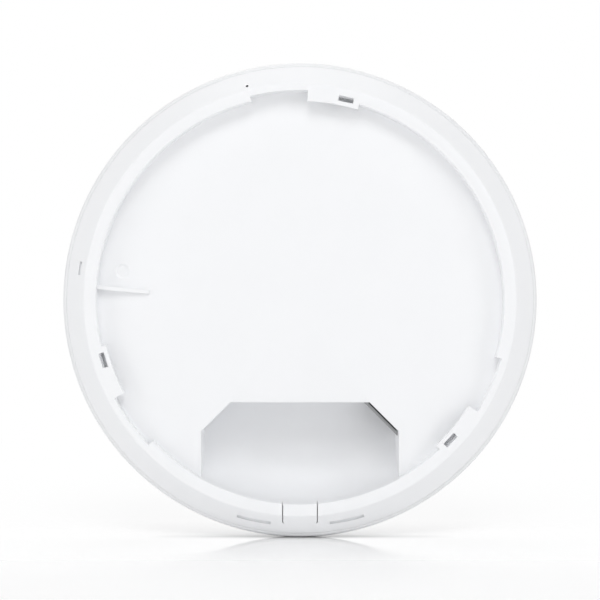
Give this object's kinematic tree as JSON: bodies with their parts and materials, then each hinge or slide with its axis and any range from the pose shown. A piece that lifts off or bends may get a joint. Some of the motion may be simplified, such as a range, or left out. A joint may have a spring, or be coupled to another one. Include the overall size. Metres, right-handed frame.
{
  "type": "ceiling access point",
  "caption": "Round domed wireless access point with a sunk bayonet mounting floor, a cable bay and a socket behind its chamfer.",
  "frame": {"origin": "centre of the sunk mounting floor, where the bracket's disc lies", "axes": "+Y from the mounting side towards the dome, along the unit's axis; +Z away from the cable exit, up on a wall; +X to the right seen from behind"},
  "size_m": [0.206, 0.046, 0.206],
  "materials": {
    "rear_plastic": "fine matte moulded white",
    "dome_plastic": "satin moulded white",
    "light_lens": "translucent white",
    "clear_acrylic": "polished",
    "circuit_board": "green solder mask",
    "led_chip": "phosphor under clear resin",
    "screw_steel": "zinc plated",
    "tinned_sheet": "tin plated sheet",
    "black_plastic": "matte",
    "contact_gold": "gold plated",
    "thermal_pad": "soft grey",
    "cast_aluminium": "die cast",
    "copper_winding": "enamelled copper wire",
    "capacitor_can": "dark sleeve",
    "ferrite": "dull",
    "ribbon_film": "satin",
    "lead_jacket": "soft matte"
  },
  "bodies": {
    "unit": {"rear_housing": "rear_plastic", "front_dome": "dome_plastic", "light_ring": "light_lens", "light_guide": "clear_acrylic", "led_board": "circuit_board", "status_led_1": "led_chip", "status_led_2": "led_chip", "status_led_3": "led_chip", "status_led_4": "led_chip", "main_board": "circuit_board", "board_screw_1": "screw_steel", "board_screw_2": "screw_steel", "board_screw_3": "screw_steel", "board_screw_4": "screw_steel", "board_screw_5": "screw_steel", "jack_shell": "tinned_sheet", "jack_insert": "black_plastic", "jack_contact_1": "contact_gold", "jack_contact_2": "contact_gold", "jack_contact_3": "contact_gold", "jack_contact_4": "contact_gold", "jack_contact_5": "contact_gold", "jack_contact_6": "contact_gold", "jack_contact_7": "contact_gold", "jack_contact_8": "contact_gold", "reset_switch": "black_plastic", "shield_can_1": "tinned_sheet", "shield_can_2": "tinned_sheet", "shield_can_3": "tinned_sheet", "thermal_pad_1": "thermal_pad", "thermal_pad_2": "thermal_pad", "thermal_pad_3": "thermal_pad", "heat_sink": "cast_aluminium", "heat_sink_screw_1": "screw_steel", "heat_sink_screw_2": "screw_steel", "heat_sink_screw_3": "screw_steel", "heat_sink_screw_4": "screw_steel", "blower_base": "black_plastic", "blower_cover": "black_plastic", "blower_stator": "copper_winding", "blower_screw_1": "screw_steel", "blower_screw_2": "screw_steel", "blower_screw_3": "screw_steel", "antenna_1": "tinned_sheet", "antenna_2": "tinned_sheet", "antenna_3": "tinned_sheet", "antenna_4": "tinned_sheet", "antenna_5": "tinned_sheet", "antenna_6": "tinned_sheet", "capacitor_1": "capacitor_can", "capacitor_2": "capacitor_can", "capacitor_3": "capacitor_can", "power_inductor": "copper_winding", "power_transformer": "ferrite", "lan_transformer": "black_plastic", "led_ribbon": "ribbon_film", "ribbon_socket": "ribbon_film", "blower_lead": "lead_jacket"},
    "reset_plunger": {"reset_button": "rear_plastic"},
    "impeller": {"blower_impeller": "black_plastic"}
  },
  "joints": [
    {"name": "reset_press", "type": "slide", "parent": "unit", "child": "reset_plunger", "axis": [0, 1, 0], "range_m": [0, 0.0003], "stiffness_N_per_m": 5300},
    {"name": "impeller_spin", "type": "hinge", "parent": "unit", "child": "impeller", "pos_m": [0, 0.018, -0.01407], "axis": [0, 1, 0], "continuous": true}
  ]
}
